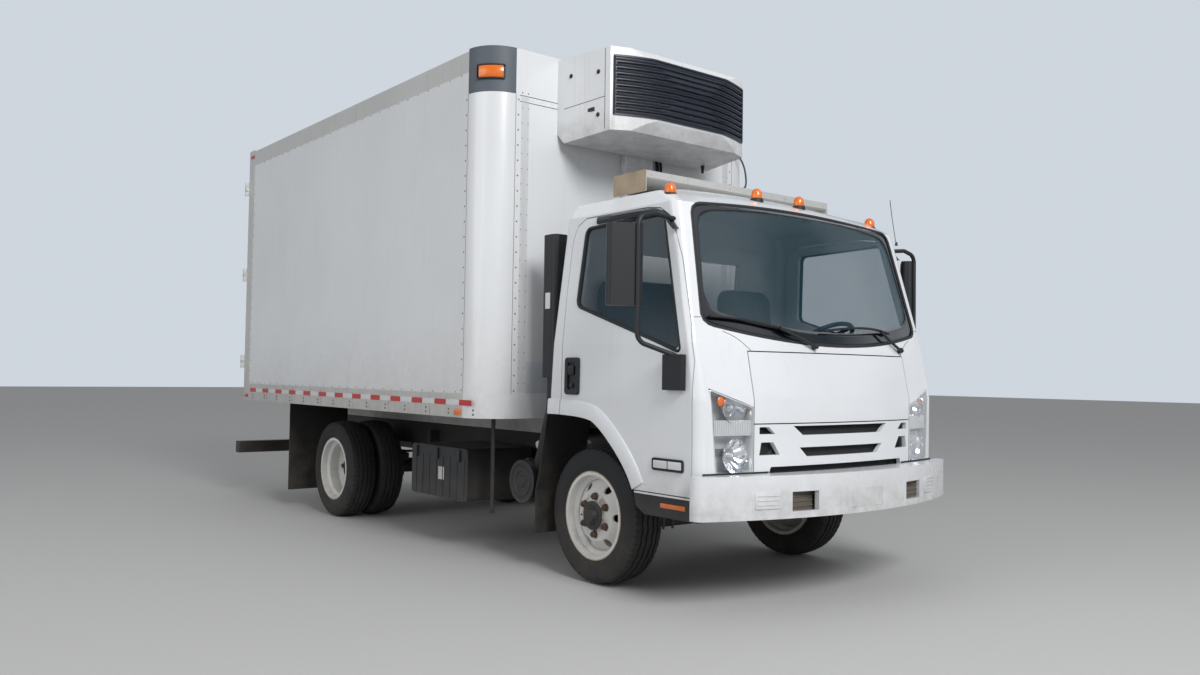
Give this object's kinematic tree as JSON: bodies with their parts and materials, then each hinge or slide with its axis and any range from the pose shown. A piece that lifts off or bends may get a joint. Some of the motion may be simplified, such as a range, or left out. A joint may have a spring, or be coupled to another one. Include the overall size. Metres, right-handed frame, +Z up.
{
  "type": "refrigerated box truck",
  "caption": "Cab-over box truck with an insulated cargo body, a refrigeration unit on its front wall, steered front wheels, dual rear wheels and swinging doors.",
  "frame": {"origin": "centre of the whole truck's box, on the road under it", "axes": "+X to the truck's left, +Y to its rear, +Z up"},
  "size_m": [2.689, 6.5478, 3.345],
  "materials": {
    "cab_paint": "white gloss cab paint",
    "panel_white": "white gelcoat body panel",
    "aluminium": "weathered mill aluminium rail",
    "cap_grey": "dark grey moulded corner cap",
    "frame_black": "black chassis paint",
    "black_plastic": "black moulded plastic",
    "unit_white": "white moulded cover",
    "grille_dark": "dark blue-black louvre",
    "glass": "lightly tinted safety glass",
    "lamp_clear": "clear lamp lens over reflector",
    "amber": "amber lamp lens",
    "tyre": "black tyre rubber",
    "rim_white": "white wheel paint, worn at the edge",
    "flap": "black mud flap rubber",
    "interior": "grey cab trim",
    "seat_cloth": "grey seat cloth",
    "engine_grey": "dusty cast iron",
    "steel_dark": "dull steel pipe"
  },
  "bodies": {
    "root": {"air_intake": "black_plastic", "battery_box": "black_plastic", "body_floor": "aluminium", "body_rails": "aluminium", "cab_floor": "interior", "cab_glass": "glass", "cab_shell": "cab_paint", "corner_caps": "cap_grey", "corner_posts": "panel_white", "dashboard": "interior", "engine_block": "engine_grey", "exhaust_system": "steel_dark", "frame_rails": "frame_black", "front_axle": "frame_black", "front_bumper": "cab_paint", "front_grille": "cab_paint", "front_wall": "panel_white", "fuel_tank": "frame_black", "headlamps": "lamp_clear", "leaf_springs": "frame_black", "marker_lamps": "amber", "mud_flaps": "flap", "propshaft": "frame_black", "rear_axle": "frame_black", "rear_bumper": "frame_black", "rear_frame": "aluminium", "reefer_grille": "grille_dark", "reefer_housing": "unit_white", "roof_panel": "panel_white", "roof_tray": "aluminium", "seats": "seat_cloth", "side_walls": "panel_white", "steering_wheel": "black_plastic", "wipers": "black_plastic"},
    "service_lid": {"service_lid": "cab_paint"},
    "door_left": {"door_left": "cab_paint", "door_glass_left": "glass", "mirror_left": "black_plastic"},
    "rear_door_left": {"rear_door_left": "panel_white"},
    "knuckle_left": {"knuckle_left": "frame_black"},
    "front_wheel_left": {"front_rim_left": "rim_white", "front_tyre_left": "tyre"},
    "rear_wheels_left": {"rear_rims_left": "rim_white", "rear_tyres_left": "tyre"},
    "door_right": {"door_right": "cab_paint", "door_glass_right": "glass", "mirror_right": "black_plastic"},
    "rear_door_right": {"rear_door_right": "panel_white"},
    "knuckle_right": {"knuckle_right": "frame_black"},
    "front_wheel_right": {"front_rim_right": "rim_white", "front_tyre_right": "tyre"},
    "rear_wheels_right": {"rear_rims_right": "rim_white", "rear_tyres_right": "tyre"},
    "tie_rod": {"tie_rod": "frame_black"}
  },
  "joints": [
    {"name": "steer_left", "type": "hinge", "parent": "root", "child": "knuckle_left", "pos_m": [0.715, -2.022, 0.4], "axis": [0, 0, 1], "range_deg": [-36, 36]},
    {"name": "steer_right", "type": "hinge", "parent": "root", "child": "knuckle_right", "pos_m": [-0.715, -2.022, 0.4], "axis": [0, 0, 1], "range_deg": [-36, 36]},
    {"name": "tie_rod_swivel", "type": "hinge", "parent": "knuckle_left", "child": "tie_rod", "pos_m": [0.715, -1.872, 0.291], "axis": [0, 0, 1], "range_deg": [-36, 36]},
    {"name": "front_wheel_left_spin", "type": "hinge", "parent": "knuckle_left", "child": "front_wheel_left", "pos_m": [0.832, -2.022, 0.4], "axis": [1, 0, 0], "continuous": true},
    {"name": "front_wheel_right_spin", "type": "hinge", "parent": "knuckle_right", "child": "front_wheel_right", "pos_m": [-0.832, -2.022, 0.4], "axis": [1, 0, 0], "continuous": true},
    {"name": "rear_wheels_left_spin", "type": "hinge", "parent": "root", "child": "rear_wheels_left", "pos_m": [0.825, 1.343, 0.4], "axis": [1, 0, 0], "continuous": true},
    {"name": "rear_wheels_right_spin", "type": "hinge", "parent": "root", "child": "rear_wheels_right", "pos_m": [-0.825, 1.343, 0.4], "axis": [1, 0, 0], "continuous": true},
    {"name": "door_left_hinge", "type": "hinge", "parent": "root", "child": "door_left", "pos_m": [1.039, -2.952, 1.2], "axis": [0, 0, -1], "range_deg": [0, 70]},
    {"name": "door_right_hinge", "type": "hinge", "parent": "root", "child": "door_right", "pos_m": [-1.039, -2.952, 1.2], "axis": [0, 0, 1], "range_deg": [0, 70]},
    {"name": "rear_door_left_hinge", "type": "hinge", "parent": "root", "child": "rear_door_left", "pos_m": [1.25, 3.08, 2.14], "axis": [0, 0, -1], "range_deg": [0, 250]},
    {"name": "rear_door_right_hinge", "type": "hinge", "parent": "root", "child": "rear_door_right", "pos_m": [-1.25, 3.08, 2.14], "axis": [0, 0, 1], "range_deg": [0, 250]},
    {"name": "service_lid_hinge", "type": "hinge", "parent": "root", "child": "service_lid", "pos_m": [0, -3.123, 1.36], "axis": [-1, 0, 0], "range_deg": [0, 75]}
  ],
  "couplings": [
    {"joint": "steer_right", "follows": "steer_left", "ratio": 1},
    {"joint": "tie_rod_swivel", "follows": "steer_left", "ratio": -1}
  ]
}
